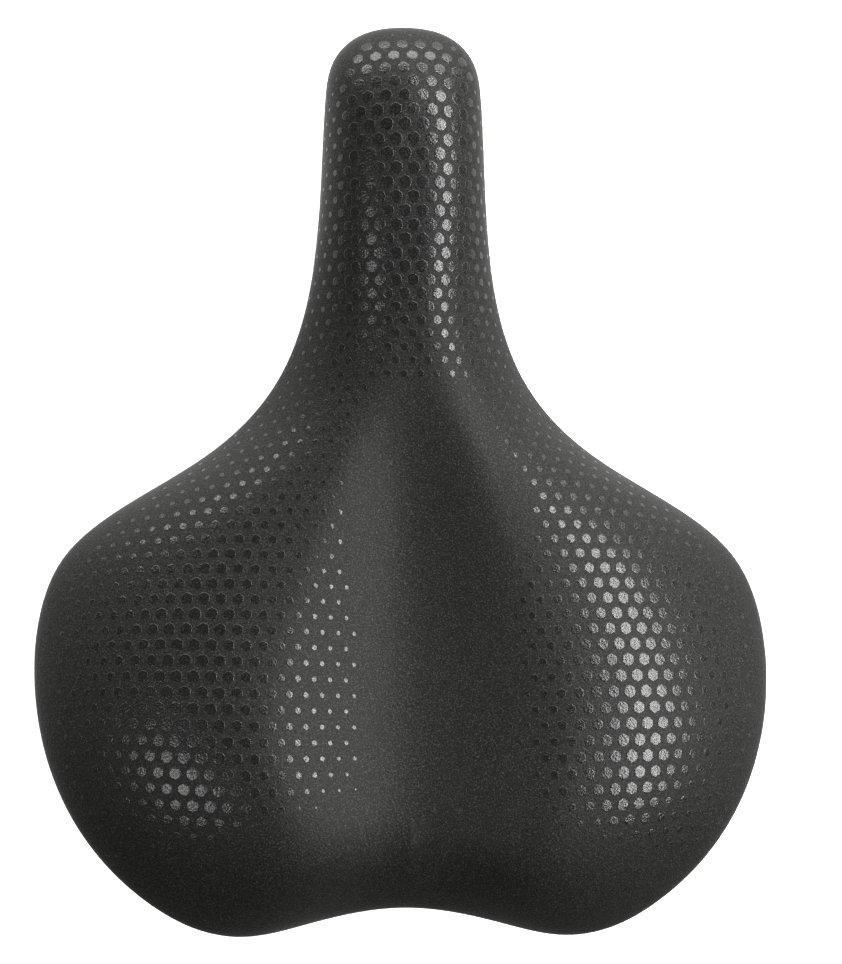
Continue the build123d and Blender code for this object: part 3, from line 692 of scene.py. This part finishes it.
def make_dots(material):
    """One piece with every raised dot, sunk a little into the skin."""
    flat = finer(flattened(seat_grid(FLAT_COLUMNS, FLAT_ROWS)[:, :FLAT_REACH]))
    drape = Drape(flat, seat_grid(COLUMNS, ROWS))
    centres = [(at, drape.place(*at)) for at in lattice(flat)]
    centres = [(at, place) for at, place in centres if place is not None]
    radii = dot_radii(np.array([place[:2] for _, place in centres]))
    points, faces = [], []
    for (at, place), radius in zip(centres, radii):
        rings = dot_outlines(drape, at, radius) if radius >= SMALLEST_DOT else None
        if rings is None:
            continue
        normal = outward_normal(rings[0][0], place)
        faces += dot_faces(len(points), len(rings))
        for ring, height in rings:
            points += [p + normal * height for p in ring]
        points.append(place + normal * DOT_HEIGHT)
    dots = new_piece("cover_dots", points, faces, material)
    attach(dots, "seat")


# ---- elastomers ----

BLOCK_RINGS = 61
BLOCK_CORNERS = 72
BLOCK_GAP = 0.5
BLOCK_LIP = 1.5
WAIST_DEPTH = 2.1
RIPPLES = 3
RIPPLE_DEPTH = 0.7


def block_radius(radius, height, share):
    """The block's radius at a share of its height: rounded lips, a waist and moulded ripples."""
    waist = 0.5 - 0.5 * math.cos(2 * math.pi * share)
    ripple = RIPPLE_DEPTH * math.cos(2 * math.pi * RIPPLES * share) * waist
    end = min(share, 1 - share) * height
    lip = BLOCK_LIP - math.sqrt(max(0, BLOCK_LIP**2 - max(0, BLOCK_LIP - end) ** 2))
    return radius - WAIST_DEPTH * waist - BLOCK_GAP + BLOCK_GAP * (1 - waist) + ripple - lip


def make_elastomer(side, material):
    """A waisted urethane block with moulded rings."""
    node = f"elastomer_{side}"
    low, high = (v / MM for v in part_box(node))
    centre = (low + high) / 2
    radius, height = (high.x - low.x) / 2, high.z - low.z
    rings, around = BLOCK_RINGS, BLOCK_CORNERS
    points, faces = [], []
    for i in range(rings):
        share = i / (rings - 1)
        r = block_radius(radius, height, share)
        for k in range(around):
            angle = 2 * math.pi * k / around
            x, y = centre.x + r * math.cos(angle), centre.y + r * math.sin(angle)
            points.append((x, y, low.z + share * height))
    for i in range(rings - 1):
        for k in range(around):
            a, b = i * around + k, i * around + (k + 1) % around
            faces.append((a, b, b + around, a + around))
    faces.append(tuple(reversed(range(around))))
    faces.append(tuple((rings - 1) * around + k for k in range(around)))
    block = new_piece(f"{node}_block", points, faces, material)
    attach(block, "rail_frame")
    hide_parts(node)
    # The travel that both joints give at their limits together is worked out here, but the block is not
    # squashed by it.
    limits = {joint["name"]: math.radians(joint["range_deg"][1]) for joint in frame["joints"]}
    bar_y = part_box("nose_bush")[0].y / 2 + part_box("nose_bush")[1].y / 2
    travel = math.tan(limits["seat_bounce"]) * (bar_y / MM - centre.y)
    travel += math.tan(limits["seat_rock"]) * abs(centre.x)
    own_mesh(block)


# ---- stage, light and camera ----

FLOOR_RADIUS = 3500.0
SWEEP = 2000.0
WALL_HEIGHT = 9000.0
WORLD_ABOVE = (0.10, 0.10, 0.10)
WORLD_BELOW = (1.7, 1.7, 1.62)
LIGHT_AIM = (0, 0, 0.05)
# Each is its name, tilt from the vertical, heading from +X towards +Y in degrees, distance, size and power.
SOFTBOXES = (
    ("right_softbox", 45.5, 16, 1.2, (1.7, 0.19), 28),
    ("front_softbox", 77, 91, 1.2, (2.2, 0.32), 22),
    ("left_softbox", 42, 204, 1.3, (0.5, 0.25), 3.8),
)
FRAME_HEIGHT = 0.2744
CAMERA_DISTANCE = 2.0
CAMERA_AIM = (0.0053, 0.0108, 0.047)
CAMERA_ROLL = math.radians(5.5)
SENSOR = 36.0


def make_floor():
    """A pale round floor whose rim sweeps up into a backdrop; only the camera sees it."""
    material, _, _, shader, _ = node_material("pale_floor", (0.9, 0.9, 0.9), 0.9)
    shader.inputs["Emission Color"].default_value = (1, 1, 1, 1)
    shader.inputs["Emission Strength"].default_value = 0.95
    low = CAD_BOX[0].z / MM - 0.1
    sweep = [(FLOOR_RADIUS + SWEEP * math.sin(a), low + SWEEP * (1 - math.cos(a)))
             for a in np.linspace(0, math.pi / 2, 13)]
    rings = [(0.5 * FLOOR_RADIUS, low), *sweep, (FLOOR_RADIUS + SWEEP, low + WALL_HEIGHT)]
    points, faces = [(0, 0, low)], []
    around = 72
    for radius, height in rings:
        for k in range(around):
            angle = 2 * math.pi * k / around
            points.append((radius * math.cos(angle), radius * math.sin(angle), height))
    faces += [(0, 1 + k, 1 + (k + 1) % around) for k in range(around)]
    for level in range(len(rings) - 1):
        for k in range(around):
            a, b = 1 + level * around + k, 1 + level * around + (k + 1) % around
            faces.append((a, a + around, b + around, b))
    floor = new_piece("floor", points, faces, material)
    floor.visible_diffuse = False
    floor.visible_glossy = False
    floor.visible_shadow = False


def make_softbox(name, tilt, heading, distance, size, power):
    """A white rectangular area light aimed at the seat."""
    light = bpy.data.lights.new(name, "AREA")
    light.shape = "RECTANGLE"
    light.size, light.size_y = size
    light.energy = power
    softbox = bpy.data.objects.new(name, light)
    tilt, heading = math.radians(tilt), math.radians(heading)
    away = Vector((math.sin(tilt) * math.cos(heading), math.sin(tilt) * math.sin(heading), math.cos(tilt)))
    softbox.location = Vector(LIGHT_AIM) + distance * away
    softbox.rotation_mode = "QUATERNION"
    softbox.rotation_quaternion = (-away).to_track_quat("-Z", "Y")
    bpy.context.scene.collection.objects.link(softbox)


def make_world():
    """Dim from above, and bright from below and ahead, where a pale table would send light back up."""
    world = bpy.data.worlds.new("studio")
    world.use_nodes = True
    nodes, links = world.node_tree.nodes, world.node_tree.links
    axes = nodes.new("ShaderNodeSeparateXYZ")
    links.new(nodes.new("ShaderNodeTexCoord").outputs["Generated"], axes.inputs["Vector"])
    below = ranged(nodes, links, axes.outputs["Z"], 0.05, -0.25, 0, 1)
    ahead = ranged(nodes, links, axes.outputs["Y"], -0.5, 0.1, 0.15, 1)
    table = nodes.new("ShaderNodeMath")
    table.operation = "MULTIPLY"
    links.new(below, table.inputs[0])
    links.new(ahead, table.inputs[1])
    background = nodes["Background"]
    glow = mixed(nodes, links, table.outputs[0], WORLD_ABOVE, WORLD_BELOW)
    links.new(glow, background.inputs["Color"])
    background.inputs["Strength"].default_value = 1
    bpy.context.scene.world = world


def make_camera():
    """A long lens that looks down on the seat, rolled a little about the seat's length."""
    data = bpy.data.cameras.new("camera")
    data.sensor_width = SENSOR
    data.lens = SENSOR * CAMERA_DISTANCE / FRAME_HEIGHT
    data.clip_start, data.clip_end = 0.01, 20
    camera = bpy.data.objects.new("camera", data)
    away = Vector((-math.sin(CAMERA_ROLL), 0, math.cos(CAMERA_ROLL)))
    camera.location = Vector(CAMERA_AIM) + CAMERA_DISTANCE * away
    camera.rotation_mode = "XYZ"
    camera.rotation_euler = (0, -CAMERA_ROLL, 0)
    bpy.context.scene.collection.objects.link(camera)
    bpy.context.scene.camera = camera


dress_nodes()
make_cover(skin_material())
make_dots(dot_material())
urethane = moulded("elastomer", (0.055, 0.055, 0.058), 0.42, 0.002, 0.1, Subsurface_Weight=0.05)
for side in ("left", "right"):
    make_elastomer(side, urethane)
make_floor()
make_world()
for row in SOFTBOXES:
    make_softbox(*row)
make_camera()
bpy.context.scene.view_settings.view_transform = "Standard"

bpy.context.view_layer.update()
